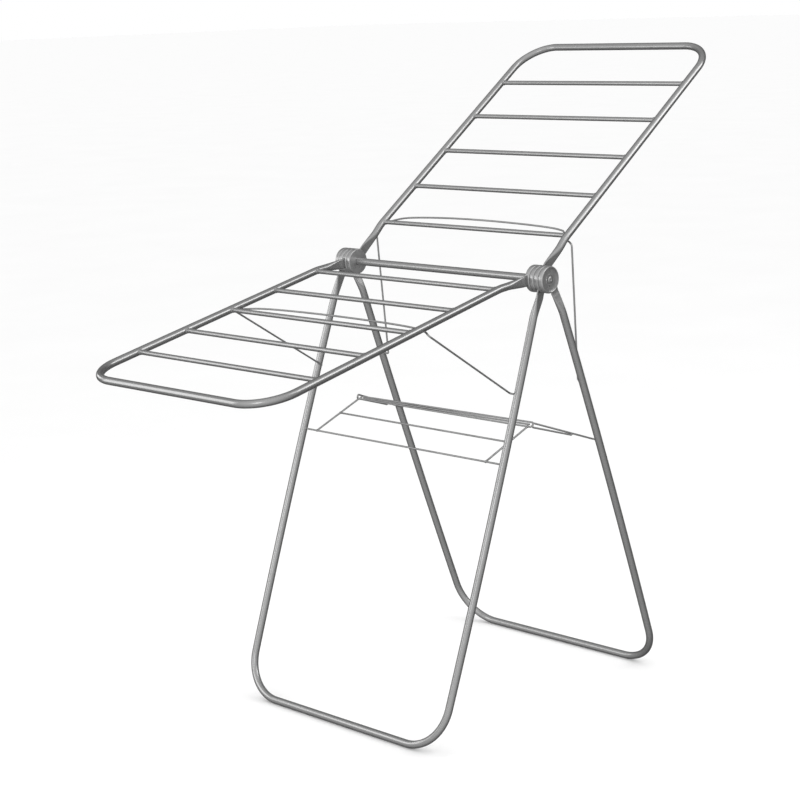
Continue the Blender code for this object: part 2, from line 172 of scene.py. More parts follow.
class Shape:
    """Points and faces gathered for one piece, drawn through a matrix."""

    def __init__(self, matrix=None):
        self.points = []
        self.faces = []
        self.sharp = set()
        self.matrix = matrix or Matrix()

    def add(self, points, faces, sharp=()):
        start = len(self.points)
        self.points += [self.matrix @ Vector(point) for point in points]
        self.faces += [tuple(start + number for number in face) for face in faces]
        self.sharp |= {tuple(sorted((start + a, start + b))) for a, b in sharp}

    def piece(self, name, material, body, node_name, slot, crease=50):
        """The finished piece, smooth except over the crease angle and on sharp edges."""
        mesh = bpy.data.meshes.new(name)
        mesh.from_pydata(self.points, [], self.faces)
        mesh.validate()
        shape = bmesh.new()
        shape.from_mesh(mesh)
        bmesh.ops.recalc_face_normals(shape, faces=shape.faces)
        shape.to_mesh(mesh)
        shape.free()
        mesh.materials.append(material)
        mesh.shade_smooth()
        mesh.set_sharp_from_angle(angle=math.radians(crease))
        if self.sharp:
            marks = mesh.attributes.get("sharp_edge")
            if marks is None:
                marks = mesh.attributes.new("sharp_edge", "BOOLEAN", "EDGE")
            for edge in mesh.edges:
                if tuple(sorted(edge.vertices)) in self.sharp:
                    marks.data[edge.index].value = True
        thing = bpy.data.objects.new(name, mesh)
        bpy.context.scene.collection.objects.link(thing)
        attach(thing, body)
        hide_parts(node_name)
        return thing


def rounded(points, radii, steps=8):
    """A polyline whose corners are replaced by arcs."""
    result = [Vector(points[0])]
    for before, corner, after, radius in zip(points, points[1:], points[2:], radii):
        corner = Vector(corner)
        into = (corner - Vector(before)).normalized()
        out = (Vector(after) - corner).normalized()
        turn = into.angle(out)
        if radius == 0 or turn < 1e-4:
            result.append(corner)
            continue
        reach = radius * math.tan(turn / 2)
        start = corner - into * reach
        centre = start + (out - into * into.dot(out)).normalized() * radius
        axis = into.cross(out).normalized()
        for step in range(steps + 1):
            spin = Matrix.Rotation(turn * step / steps, 3, axis)
            result.append(centre + spin @ (start - centre))
    result.append(Vector(points[-1]))
    return result


def line_frames(points, first_side):
    """For each point its direction and a side vector that does not twist."""
    frames = []
    side = Vector(first_side)
    for number, point in enumerate(points):
        before = points[max(number - 1, 0)]
        after = points[min(number + 1, len(points) - 1)]
        way = (after - before).normalized()
        side = (side - way * side.dot(way)).normalized()
        frames.append((point, way, side))
    return frames


DOME_SHOULDER = 0.72           # width of a domed end's shoulder, as a share of the rod's
DOME_SHOULDER_RISE = 0.7       # height of the shoulder, as a share of the dome's


def sweep(shape, points, section, first_side, sharp_from=None, dome=0.0):
    """Sweeps a section, given as (side, across) offsets, along the points."""
    frames = line_frames(points, first_side)
    count = len(section(0))
    verts = []
    for number, (point, way, side) in enumerate(frames):
        verts += [point + side * a + way.cross(side) * b for a, b in section(number)]
    faces = []
    sharp = []
    for ring in range(len(frames) - 1):
        first, second = ring * count, (ring + 1) * count
        faces += bridge(first, second, count)
        if sharp_from and sharp_from(ring):
            half = count // 2
            sharp += [(first + k, second + k) for k in (0, count - 1, half - 1, half)]
    for end in (0, len(frames) - 1):
        point, way, side = frames[end]
        base = end * count
        outward = -way if end == 0 else way
        if not dome:
            faces.append(tuple(range(base, base + count)))
            continue
        shoulder = len(verts)
        verts += [point + side * a * DOME_SHOULDER + way.cross(side) * b * DOME_SHOULDER
                  + outward * dome * DOME_SHOULDER_RISE for a, b in section(end)]
        faces += bridge(base, shoulder, count)
        top = len(verts)
        verts.append(point + outward * dome)
        faces += [(shoulder + k, shoulder + (k + 1) % count, top) for k in range(count)]
    shape.add(verts, faces, sharp)


def circle(radius, sides):
    turn = 2 * math.pi / sides
    return [(radius * math.cos((k + 0.5) * turn), radius * math.sin((k + 0.5) * turn))
            for k in range(sides)]


def rod(shape, points, radius, first_side=Z_AXIS, sides=16, dome=0.0004):
    """A round rod along the points, its ends domed by that height or flat."""
    ring = circle(radius, sides)
    sweep(shape, [Vector(point) for point in points], lambda number: ring, first_side, dome=dome)


def lathe(shape, profile, origin, axis=X_AXIS, segments=64):
    """Turns a closed profile of (radius, along) about an axis through the origin."""
    verts = [origin + spoke * radius + axis * along
             for _, spoke in spokes(axis, segments) for radius, along in profile]
    count = len(profile)
    faces = []
    for step in range(segments):
        faces += bridge(step * count, (step + 1) % segments * count, count)
    shape.add(verts, faces)


def arc(centre, radius, start, end, steps):
    """Profile points on an arc, angles in degrees."""
    angles = [math.radians(start + (end - start) * step / steps) for step in range(steps + 1)]
    return [(centre[0] + radius * math.cos(angle), centre[1] + radius * math.sin(angle))
            for angle in angles]


def bead(shape, origin, axis, inner, outer, width, seed):
    """A small weld or pressed collar: an uneven ring round a rod."""
    axis = axis.normalized()
    buried = inner * 0.6
    profile = [(inner + (r - inner) * (outer - inner), a * width / 2)
               for r, a in arc((inner, 0), 1.0, 90, -90, 6)]
    profile = [(buried, width / 2)] + profile + [(buried, -width / 2)]
    count = len(profile)
    segments = 20
    verts = []
    for angle, spoke in spokes(axis, segments):
        swell = 1 + 0.10 * math.sin(3 * angle + seed) + 0.06 * math.sin(5 * angle + 2 * seed)
        for radius, along in profile:
            if radius > inner:
                radius = inner + (radius - inner) * swell
            verts.append(origin + spoke * radius + axis * along)
    faces = []
    for step in range(segments):
        faces += bridge(step * count, (step + 1) % segments * count, count)
    shape.add(verts, faces)


def blob(shape, centre, way, length, radius, seed):
    """A spot weld between two wires: a small lumpy drop."""
    way = way.normalized()
    rings, around = 7, 14
    verts = [centre - way * length / 2]
    for ring in range(1, rings):
        polar = math.pi * ring / rings
        for angle, spoke in spokes(way, around):
            swell = 1 + 0.12 * math.sin(2 * angle + seed) * math.sin(polar)
            verts.append(centre - way * math.cos(polar) * length / 2
                         + spoke * radius * swell * math.sin(polar))
    tip = len(verts)
    verts.append(centre + way * length / 2)
    last = 1 + (rings - 2) * around
    faces = []
    for step in range(around):
        after = (step + 1) % around
        faces.append((0, 1 + after, 1 + step))
        for ring in range(rings - 2):
            a, b = 1 + ring * around, 1 + (ring + 1) * around
            faces.append((a + step, a + after, b + after, b + step))
        faces.append((last + step, last + after, tip))
    shape.add(verts, faces)


# ---------------------------------------------------------------- materials
def node(tree, kind, **values):
    item = tree.nodes.new(kind)
    for name, value in values.items():
        setattr(item, name, value)
    return item


def noise_socket(tree, coordinates, scale, detail=3.0, roughness=0.5):
    item = node(tree, "ShaderNodeTexNoise")
    item.inputs["Scale"].default_value = scale
    item.inputs["Detail"].default_value = detail
    item.inputs["Roughness"].default_value = roughness
    tree.links.new(coordinates, item.inputs["Vector"])
    return item.outputs["Fac"]


def ramp_value(tree, source, low, high, start=0.3, end=0.7):
    item = node(tree, "ShaderNodeMapRange")
    item.inputs["From Min"].default_value = start
    item.inputs["From Max"].default_value = end
    item.inputs["To Min"].default_value = low
    item.inputs["To Max"].default_value = high
    tree.links.new(source, item.inputs["Value"])
    return item.outputs["Result"]


def ramp_grey(tree, source, low, high, start=0.3, end=0.7):
    """A colour ramp between two greys."""
    item = node(tree, "ShaderNodeValToRGB")
    for element, position, level in zip(item.color_ramp.elements, (start, end), (low, high)):
        element.position = position
        element.color = (level, level, level, 1)
    tree.links.new(source, item.inputs["Fac"])
    return item.outputs["Color"]


def bump(tree, source, strength, distance, normal=None):
    item = node(tree, "ShaderNodeBump")
    item.inputs["Strength"].default_value = strength
    item.inputs["Distance"].default_value = distance
    tree.links.new(source, item.inputs["Height"])
    if normal is not None:
        tree.links.new(normal, item.inputs["Normal"])
    return item.outputs["Normal"]


def new_material(name):
    """A material with its tree, its shader and coordinates that stay on the piece."""
    material = bpy.data.materials.new(name)
    material.use_nodes = True
    tree = material.node_tree
    place = node(tree, "ShaderNodeTexCoord").outputs["Object"]
    return material, tree, tree.nodes["Principled BSDF"], place


def coating(name, grey, rough, metallic, coat, grain, peel_depth, scratches):
    """A coat on metal: cloudy colour and gloss, orange peel and a few fine scratches."""
    material, tree, shader, place = new_material(name)
    clouds = noise_socket(tree, place, 26.0, 4.0, 0.55)
    tree.links.new(ramp_grey(tree, clouds, *grey), shader.inputs["Base Color"])
    smudges = noise_socket(tree, place, 70.0, 5.0, 0.6)
    tree.links.new(ramp_value(tree, smudges, *rough), shader.inputs["Roughness"])
    shader.inputs["Metallic"].default_value = metallic
    shader.inputs["Coat Weight"].default_value = coat
    shader.inputs["Coat Roughness"].default_value = 0.12
    peel = bump(tree, noise_socket(tree, place, grain, 2.0), peel_depth, 0.0004)
    stretch = node(tree, "ShaderNodeMapping")
    stretch.inputs["Scale"].default_value = (40.0, 700.0, 700.0)
    tree.links.new(place, stretch.inputs["Vector"])
    streaks = noise_socket(tree, stretch.outputs["Vector"], 1.0, 2.0)
    tree.links.new(bump(tree, streaks, scratches, 0.0003, peel), shader.inputs["Normal"])
    return material


def pigmented_plastic(name, grey, rough):
    """Moulded grey plastic with a metallic pigment, flow marks and a fine grain."""
    material, tree, shader, place = new_material(name)
    clouds = noise_socket(tree, place, 60.0, 5.0, 0.62)
    tree.links.new(ramp_grey(tree, clouds, *grey), shader.inputs["Base Color"])
    smudges = noise_socket(tree, place, 130.0, 4.0, 0.6)
    tree.links.new(ramp_value(tree, smudges, *rough), shader.inputs["Roughness"])
    shader.inputs["Metallic"].default_value = 0.90
    shader.inputs["Coat Weight"].default_value = 0.35
    shader.inputs["Coat Roughness"].default_value = 0.18
    grain = bump(tree, noise_socket(tree, place, 900.0, 2.0), 0.05, 0.0003)
    flow = bump(tree, noise_socket(tree, place, 150.0, 3.0), 0.06, 0.0010, grain)
    tree.links.new(flow, shader.inputs["Normal"])
    return material


TUBE = coating("silver_coating", grey=(0.445, 0.475), rough=(0.23, 0.27), metallic=0.94,
               coat=0.20, grain=260.0, peel_depth=0.012, scratches=0.006)
WIRE = coating("wire_coating", grey=(0.36, 0.43), rough=(0.28, 0.38), metallic=0.85,
               coat=0.15, grain=400.0, peel_depth=0.02, scratches=0.01)
RIVET = coating("rivet_steel", grey=(0.50, 0.60), rough=(0.42, 0.50), metallic=1.0,
                coat=0.0, grain=600.0, peel_depth=0.02, scratches=0.01)
PLASTIC = pigmented_plastic("hub_plastic", grey=(0.44, 0.58), rough=(0.26, 0.36))


# ---------------------------------------------------------------- tube frames
TUBE_SIDES = 32
SOFT_BEND = 0.010              # half the length over which the wing tubes bend


def roundness(distance):
    """0 where a tube end is pressed flat, 1 where the tube is round."""
    share = clamp((distance - FLAT_END) / (ROUND_START - FLAT_END))
    return 0.6 * share + 0.4 * smooth(share)


def wing_rise(half, distance):
    """Wing tubes point at the axis up to a soft bend, and then run beside it."""
    reach = WING_BEND - SOFT_BEND
    if distance < reach:
        return half.wing_offset * distance / WING_BEND
    share = clamp((distance - reach) / (2 * SOFT_BEND))
    start = half.wing_offset * reach / WING_BEND
    slope = half.wing_offset / WING_BEND
    return start + slope * 2 * SOFT_BEND * (share - share * share / 2)


def leg_x(half, index, distance):
    """Middle of a leg tube at a distance below the axis, before the half is turned."""
    outward = -1 if index == 0 else 1
    share = distance / half.leg_length
    return LEG_LINES[index] + outward * LEG_BOW * 4 * share * (1 - share)


def tube_section(distance):
    """Round, or pressed into a stadium whose flats widen towards the end."""
    squash = 1 - roundness(distance)
    thin = TUBE_RADIUS + squash * (FLAT_THICKNESS / 2 - TUBE_RADIUS)
    flat = (FLAT_WIDTH - FLAT_THICKNESS) * squash / 2
    return [(x, y + math.copysign(flat, y)) for x, y in circle(thin, TUBE_SIDES)]


def tube_frame(matrix, planes, lines, length, corner, bow, rise, along, up):
    """The bent tube of one frame, with pressed ends.

    The tube runs from one hub out along one line, round two corners and back. It lies in the
    discs' planes at the hubs and on its own lines from ROUND_START on.
    """
    stops = [-FLAT_TAIL, -FLAT_TAIL * 0.5, 0.0, FLAT_TAIL, FLAT_END - 0.006, FLAT_END]
    stops += [FLAT_END + (ROUND_START - FLAT_END) * step / 12 for step in range(1, 13)]
    stops += [WING_BEND + step * 0.0025 for step in range(-5, 6)]
    stops += [WING_BEND + (length - corner - WING_BEND) * step / 16 for step in range(1, 16)]

    def side(index, distance):
        outward = -1 if index == 0 else 1
        share = distance / length
        x = planes[index] + (lines[index] - planes[index]) * roundness(distance)
        if distance > FLAT_END:
            x += outward * bow * 4 * share * (1 - share)
        return X_AXIS * x + along * distance + up * rise(distance)

    left = [side(0, distance) for distance in stops]
    right = [side(1, distance) for distance in stops]
    corners = [X_AXIS * x + along * length + up * rise(length) for x in lines]
    radii = [0] * (len(left) - 1) + [corner, corner] + [0] * (len(right) - 1)
    points = rounded(left + corners + right[::-1], radii, steps=20)
    distances = [point.dot(along) for point in points]

    def creased(ring):
        return (distances[ring] + distances[ring + 1]) / 2 < ROUND_START - 0.004

    shape = Shape(matrix)
    sweep(shape, points, lambda number: tube_section(distances[number]), X_AXIS,
          sharp_from=creased)
    return shape


HOLE_GAP = 0.0004              # between a wire and the lip of its hole
LIP_RADIUS = 0.0005
LIP_FOOT = 0.0008              # how far a lip reaches into the tube's wall


def build_leg_frame(half):
    shape = tube_frame(half.leg, LEG_PLANES, LEG_LINES, half.leg_length, LEG_CORNER, LEG_BOW,
                       lambda distance: half.leg_offset, -Z_AXIS, -Y_AXIS)
    # a raised lip where each wire enters the tube's wall
    bore = WIRE_RADIUS + HOLE_GAP
    profile = [(bore, -LIP_FOOT), (bore, 0.0003)]
    profile += arc((bore + LIP_RADIUS, 0.0003), LIP_RADIUS, 180, 0, 6)
    profile += [(bore + 0.0014, -LIP_FOOT)]
    for pivot in (SUPPORT_PIVOT, SHELF_PIVOT):
        for index, inward in ((0, 1), (1, -1)):
            wall = leg_x(half, index, pivot) + inward * (TUBE_RADIUS - 0.0002)
            lathe(shape, profile, Vector((wall, -half.leg_offset, -pivot)), X_AXIS * inward,
                  segments=20)
    name = f"{half.name}_leg_frame"
    shape.piece(f"{name}_tube", TUBE, half.legs_body, name, "tube_steel")


RUNG_ENTRY = 0.0015            # how far a rung goes into the tubes
WELD_SETBACK = 0.0022          # from the rung's end to the middle of its weld
WELD_WIDTH = 0.0030


def build_wing(half):
    body = f"{half.name}_wing"
    shape = tube_frame(half.wing, WING_PLANES, WING_LINES, half.rail, WING_CORNER, 0.0,
                       lambda distance: wing_rise(half, distance), -Y_AXIS, Z_AXIS)
    name = f"{half.name}_wing_frame"
    shape.piece(f"{name}_tube", TUBE, body, name, "tube_steel")
    inset = TUBE_RADIUS - RUNG_ENTRY
    for number in range(RUNG_COUNT):
        distance = half.first_rung + number * half.pitch
        height = wing_rise(half, distance)
        ends = [Vector((WING_LINES[0] + inset, -distance, height)),
                Vector((WING_LINES[1] - inset, -distance, height))]
        rung = Shape(half.wing)
        rod(rung, even_stops(*ends, 12), RUNG_RADIUS, sides=24)
        for end, inward in zip(ends, (1, -1)):
            bead(rung, end + X_AXIS * inward * WELD_SETBACK, X_AXIS, RUNG_RADIUS - 0.0003,
                 RUNG_RADIUS + 0.0011, WELD_WIDTH, random.uniform(0, 6))
        name = f"{half.name}_rung_{number + 1}"
        rung.piece(f"{name}_bar", TUBE, body, name, "tube_steel")


# ---------------------------------------------------------------- hubs
HALF_DISC = DISC_PITCH / 2 - 0.0002
RIM_ROUND = 0.0022             # edge radius of a disc
DISH_FLOOR = HALF_DISC - 0.0022      # where the rivet's head seats in an end disc
RIB_COUNT = 24
RIB_RADIUS = 0.0010
SLOT_GAP = 0.0007              # between a pressed tube end and its slot
DISC_CREASE = 32


def disc_profile(outer):
    """Closed profile of a disc as (radius, along); an outer disc has a dished face."""
    w = HALF_DISC
    bore = AXLE_RADIUS + 0.0003
    if outer:
        profile = [(bore, DISH_FLOOR), (0.0088, DISH_FLOOR)]
        profile += [(0.0092, w - 0.0012), (0.0110, w - 0.0010), (0.0116, w - 0.0024)]
        profile += [(0.0230, w - 0.0034), (0.0238, w - 0.0030), (0.0243, w - 0.0006)]
        profile += arc((DISC_RADIUS - 0.0022, w - 0.0014), 0.0014, 120, 70, 4)
        profile += arc((DISC_RADIUS - 0.0030, w - 0.0030), 0.0030, 55, 0, 6)
    else:
        profile = [(bore, w), (DISC_RADIUS - RIM_ROUND, w)]
        profile += arc((DISC_RADIUS - RIM_ROUND, w - RIM_ROUND), RIM_ROUND, 80, 0, 6)
    # the rim swells slightly in the middle of its width
    profile += [(DISC_RADIUS + 0.0002, 0.0012), (DISC_RADIUS + 0.0002, -0.0012)]
    profile += arc((DISC_RADIUS - RIM_ROUND, -w + RIM_ROUND), RIM_ROUND, 0, -80, 6)
    return profile + [(DISC_RADIUS - RIM_ROUND, -w), (bore, -w)]


def cut_slot(disc, matrix, centre, way):
    """Opens the slot of the pressed tube end out of the disc's rim."""
    length = DISC_RADIUS + FLAT_TAIL + 0.004
    size = (FLAT_THICKNESS + SLOT_GAP, length, FLAT_WIDTH + SLOT_GAP)
    middle = centre + way * (length / 2 - FLAT_TAIL - 0.0006)
    turn = Y_AXIS.rotation_difference(way).to_matrix()
    shape = bmesh.new()
    bmesh.ops.create_cube(shape, size=1.0)
    bmesh.ops.scale(shape, vec=size, verts=shape.verts)
    bmesh.ops.rotate(shape, matrix=turn, verts=shape.verts)
    bmesh.ops.translate(shape, vec=middle, verts=shape.verts)
    bmesh.ops.transform(shape, matrix=matrix, verts=shape.verts)
    mesh = bpy.data.meshes.new("slot_cutter")
    shape.to_mesh(mesh)
    shape.free()
    cutter = bpy.data.objects.new("slot_cutter", mesh)
    bpy.context.scene.collection.objects.link(cutter)
    boolean = disc.modifiers.new("slot", "BOOLEAN")
    boolean.operation = "DIFFERENCE"
    boolean.solver = "EXACT"
    boolean.object = cutter
    bpy.context.view_layer.update()
    graph = bpy.context.evaluated_depsgraph_get()
    result = bpy.data.meshes.new_from_object(disc.evaluated_get(graph))
    disc.modifiers.clear()
    disc.data = result
    disc.data.shade_smooth()
    disc.data.set_sharp_from_angle(angle=math.radians(DISC_CREASE))
    bpy.data.objects.remove(cutter, do_unlink=True)


def build_disc(name, matrix, x, body, offset, way, outer):
    """A disc in the plane x, with the slot of a tube end that lies along way."""
    middle = Vector((x, 0, 0))
    axis = -X_AXIS if outer else X_AXIS
    shape = Shape(matrix)
    lathe(shape, disc_profile(outer), middle, axis, segments=96)
    if outer:
        # fine ribs run over the dished face from the boss to the rim
        top = DISC_PITCH / 2 - 0.0030
        for step in range(RIB_COUNT):
            angle = 2 * math.pi * (step + 0.5) / RIB_COUNT
            spoke = Vector((0, math.cos(angle), math.sin(angle)))
            start = middle + axis * (top - 0.0012) + spoke * 0.0112
            end = middle + axis * (top - 0.0018) + spoke * 0.0236
            rod(shape, even_stops(start, end, 2), RIB_RADIUS, axis, sides=10, dome=0.0002)
    disc = shape.piece(f"{name}_moulding", PLASTIC, body, name, "hub_plastic", DISC_CREASE)
    cut_slot(disc, matrix, middle + offset, way)


def build_discs(half):
    """The half's four discs; its first leg disc is the outer one of its hub."""
    to_bend = Vector((0, -WING_BEND, half.wing_offset)).normalized()
    beside = Vector((0, -half.leg_offset, 0))
    for index, side in enumerate(("left", "right") if half is FRONT else ("right", "left")):
        build_disc(f"{side}_disc_{half.name}_leg", half.leg, LEG_PLANES[index], half.legs_body,
                   beside, -Z_AXIS, outer=index == 0)
        build_disc(f"{side}_disc_{half.name}_wing", half.wing, WING_PLANES[index],
                   f"{half.name}_wing", Vector(), to_bend, outer=False)


HEAD_RADIUS = 0.0075           # of a rivet
HEAD_HEIGHT = 0.0026
HEAD_EDGE = 0.0004
HEAD_CORE = 0.0004             # inner radius of the turned head, closed by a small rod
HEAD_GAP = 0.0003              # under the head


def build_hinge_axis():
    """The spacer tube between the hubs, the axles inside them and the rivets' heads."""
    hub = Matrix.Translation((0, 0, HINGE_HEIGHT))
    reach = X_AXIS * (HUB_INNER - 0.0003)
    shape = Shape(hub)
    rod(shape, even_stops(-reach, reach, 16), TUBE_RADIUS, sides=TUBE_SIDES, dome=0.0)
    shape.piece("top_tube_bar", TUBE, "front_frame", "top_tube", "tube_steel")
    face = HUB_OUTER - 0.0002 - 0.0022
    profile = [(HEAD_CORE, 0.0), (HEAD_RADIUS - HEAD_EDGE, 0.0), (HEAD_RADIUS, HEAD_EDGE)]
    profile += [(HEAD_RADIUS * math.cos(math.radians(angle)),
                 HEAD_EDGE + HEAD_HEIGHT * math.sin(math.radians(angle)))
                for angle in range(8, 66, 8)]
    profile += [(0.0024, 0.0027), (0.0020, 0.0021), (HEAD_CORE, 0.0019)]
    for outward, side in ((-X_AXIS, "left"), (X_AXIS, "right")):
        pin = Shape(hub)
        rod(pin, [outward * HUB_INNER, outward * face], AXLE_RADIUS, sides=24, dome=0.0)
        pin.piece(f"{side}_axle_pin", RIVET, "front_frame", f"{side}_axle", "bright_steel")
        seat = outward * (face + HEAD_GAP)
        head = Shape(hub)
        lathe(head, profile, seat, outward, segments=48)
        rod(head, [seat + outward * 0.0002, seat + outward * 0.0019], 0.0006, sides=12, dome=0.0)
        head.piece(f"{side}_rivet_head", RIVET, "front_frame", f"{side}_rivet", "bright_steel")


# ---------------------------------------------------------------- support wires
STRUT_FEET = (-0.2905, 0.2587)       # x of the struts beside the legs
STRUT_TOPS = (-0.2905, 0.2700)       # x of the struts beside the wing
STRUT_BEND = 0.006
PIN_BEND = STRUT_BEND * 0.6
UNDER_TUBE = TUBE_RADIUS + WIRE_RADIUS + 0.0006
FRONT_HOOK = 0.345                   # along the wing, where the crossbar passes below it
REAR_HOOK = 0.100
BAR_STEPS = 24                       # of half a crossbar
COLLAR_SETBACK = 0.0016              # from the leg's wall to the middle of a collar


def leg_point(half, distance):
    """A point on the leg tubes' middle plane, from the hinge axis, before the half is turned."""
    return Vector((0, -distance * math.sin(half.tilt) - half.leg_offset * math.cos(half.tilt),
                   -distance * math.cos(half.tilt) + half.leg_offset * math.sin(half.tilt)))


def wing_point(half, x, distance, above):
    """A point beside the wing tubes' middle plane, from the hinge axis, in the same way."""
    angle = half.wing_angle
    rise = half.wing_offset * min(distance / WING_BEND, 1.0) + above
    return Vector((x, -distance * math.cos(angle) + rise * math.sin(angle),
                   distance * math.sin(angle) + rise * math.cos(angle)))


def front_crossbar(share):
    """Distance along the wing and height of the crossbar, -1 to 1 across its width."""
    bow = 0.0360 - 0.0130 * share ** 2 - 0.0230 * share ** 10
    return FRONT_HOOK - bow, -UNDER_TUBE


def rear_crossbar(share):
    lift = 0.0185 * (1 - smooth(abs(share) * 1.05))
    bow = 0.0530 - 0.0150 * share ** 2 - 0.0380 * share ** 12
    dip = clamp(1 - abs(share + 0.925) / 0.075)
    return REAR_HOOK + bow - 1.07 * lift - 0.0155 * dip, lift - UNDER_TUBE - 0.002 * dip


def collar(shape, centre, seed):
    """A pressed stop collar on a wire, beside a leg tube."""
    bead(shape, centre, X_AXIS, WIRE_RADIUS - 0.0002, WIRE_RADIUS + 0.0007, 0.0012, seed)


def build_support(half, crossbar):
    """A U of wire: two pins in the leg holes, two struts and a crossbar."""
    pivot = leg_point(half, SUPPORT_PIVOT)
    pins = (leg_x(half, 0, SUPPORT_PIVOT) + TUBE_RADIUS - PIN_LENGTH,
            leg_x(half, 1, SUPPORT_PIVOT) - TUBE_RADIUS + PIN_LENGTH)
    middle = (STRUT_TOPS[0] + STRUT_TOPS[1]) / 2
    half_width = (STRUT_TOPS[1] - STRUT_TOPS[0]) / 2
    bar = []
    for step in range(-BAR_STEPS, BAR_STEPS + 1):
        share = step / BAR_STEPS
        distance, above = crossbar(share)
        bar.append(wing_point(half, middle + share * half_width, distance, above))
    points = [pivot + X_AXIS * pins[0], pivot + X_AXIS * STRUT_FEET[0]] + bar
    points += [pivot + X_AXIS * STRUT_FEET[1], pivot + X_AXIS * pins[1]]
    radii = [PIN_BEND, STRUT_BEND] + [0] * (len(bar) - 2) + [STRUT_BEND, PIN_BEND]
    shape = Shape(half.hub)
    rod(shape, rounded(points, radii, steps=10), WIRE_RADIUS, Y_AXIS)
    for index, outward in enumerate((-1, 1)):
        x = leg_x(half, index, SUPPORT_PIVOT) - outward * (TUBE_RADIUS + COLLAR_SETBACK)
        collar(shape, pivot + X_AXIS * x, 1.0 + index)
    name = f"{half.name}_support_wire"
    shape.piece(f"{name}_rod", WIRE, f"{half.name}_support", name, "wire_steel")


# ---------------------------------------------------------------- shelf and its links
SHELF_SIDES = (-0.262, 0.233)        # x of the side wires
SHELF_BACK = (-0.262, 0.2385)        # x of the back wire's ends
RAIL = (-0.256, 0.2415)              # x of the rail's ends
RAIL_SETBACK = 0.006                 # of the rail behind the back wire
RAIL_RISE = (0.0045, 0.0088)         # of the rail's ends above the back wire
RAIL_TRIM = (0.006, -0.006)          # the wire between them is this much shorter
LINK_KNEES = (-0.2675, 0.2455)       # x of the links where they meet the shelf
LINK_FEET = (-0.2680, 0.2870)        # x of the links beside the rear legs
LINK_SPREAD = 0.0085                 # between the two runs of a link's hairpin
LINK_JOIN = 0.36                     # share of a link's length where its hairpin closes
TILTED = (0, 0.3, 1)                 # a section's side, clear of every shelf wire's direction


def build_shelf():
    """The shelf's wires; returns its pivot and the way from there to its back edge."""
    pivot = leg_point(FRONT, SHELF_PIVOT) + Vector((0, 0, HINGE_HEIGHT))
    matrix = Matrix.Translation(pivot)
    back = Vector((0, SHELF_DEPTH, SHELF_RISE))
    away = back.normalized()
    recess = TUBE_RADIUS - PIN_LENGTH

    def wire(name, start, end, welds=()):
        shape = Shape(matrix)
        rod(shape, even_stops(Vector(start), Vector(end), 8), WIRE_RADIUS, TILTED)
        for number, (centre, way) in enumerate(welds):
            blob(shape, Vector(centre), way, 0.0062, 0.0028, 1.3 * number + 0.4)
        shape.piece(f"{name}_rod", WIRE, "shelf", name, "wire_steel")

    wire("shelf_hinge_rod", X_AXIS * (leg_x(FRONT, 0, SHELF_PIVOT) + recess),
         X_AXIS * (leg_x(FRONT, 1, SHELF_PIVOT) - recess),
         [(X_AXIS * x, X_AXIS) for x in SHELF_SIDES])
    for x, side in zip(SHELF_SIDES, ("left", "right")):
        beside = X_AXIS * x
        wire(f"shelf_side_{side}", beside + away * WIRE_RADIUS,
             beside + back - away * WIRE_RADIUS, [(beside + back * SHELF_MID, away)])
    middle = back * SHELF_MID
    wire("shelf_middle_wire", middle + X_AXIS * (SHELF_SIDES[0] + WIRE_RADIUS),
         middle + X_AXIS * (SHELF_SIDES[1] - WIRE_RADIUS))
    wire("shelf_back_wire", back + X_AXIS * SHELF_BACK[0], back + X_AXIS * SHELF_BACK[1],
         [(back + X_AXIS * x, X_AXIS) for x in SHELF_SIDES])
    build_rail(matrix, back)
    return pivot, back


def build_rail(matrix, back):
    """The rail, a second wire between it and the back wire, and a loop at each end."""
    rail = [back + Vector((x, RAIL_SETBACK, rise)) for x, rise in zip(RAIL, RAIL_RISE)]
    between = [back + Vector((x + trim, RAIL_SETBACK * 0.5, rise * 0.5))
               for x, rise, trim in zip(RAIL, RAIL_RISE, RAIL_TRIM)]
    shape = Shape(matrix)
    rod(shape, even_stops(*rail, 12), WIRE_RADIUS, TILTED)
    rod(shape, even_stops(*between, 12), WIRE_RADIUS, TILTED)
    for end, inward in zip(rail, (1, -1)):
        low = Vector((end.x + inward * 0.004, back.y, back.z))
        loop = [end + X_AXIS * inward * 0.0006,
                end + Vector((-inward * 0.0024, -0.0010, -0.0006)),
                Vector((end.x - inward * 0.0030, (end.y + back.y) / 2, (end.z + back.z) / 2)),
                low - X_AXIS * inward * 0.0040, low]
        rod(shape, rounded(loop, [0.0015, 0.002, 0.002], steps=6), WIRE_RADIUS * 0.9, TILTED,
            sides=14)
    shape.piece("shelf_rail_rod", WIRE, "shelf", "shelf_rail", "wire_steel")


def build_link(side, index, knee, matrix):
    """A hairpin of wire from a hole in a rear leg to the shelf's back edge."""
    outward = -1 if index == 0 else 1
    leg = -leg_x(REAR, 1 - index, SHELF_PIVOT)
    pin = X_AXIS * (leg + outward * (PIN_LENGTH - TUBE_RADIUS))
    foot = X_AXIS * LINK_FEET[index]
    low = knee + X_AXIS * LINK_KNEES[index]
    high = low + Vector((0, RAIL_SETBACK * 0.5, LINK_SPREAD))
    join = foot.lerp(high, LINK_JOIN) - Z_AXIS * 1.9 * WIRE_RADIUS
    turn = LINK_SPREAD * 0.35
    shape = Shape(matrix)
    rod(shape, rounded([pin, foot, high, low, join], [0.003, turn, turn], steps=10), WIRE_RADIUS)
    blob(shape, join + Z_AXIS * WIRE_RADIUS, foot - high, 0.007, 0.0024, 2.0)
    collar(shape, X_AXIS * (leg - outward * (TUBE_RADIUS + COLLAR_SETBACK)), 0.5)
    name = f"{side}_link"
    shape.piece(f"{name}_rod", WIRE, "shelf_links", name, "wire_steel")


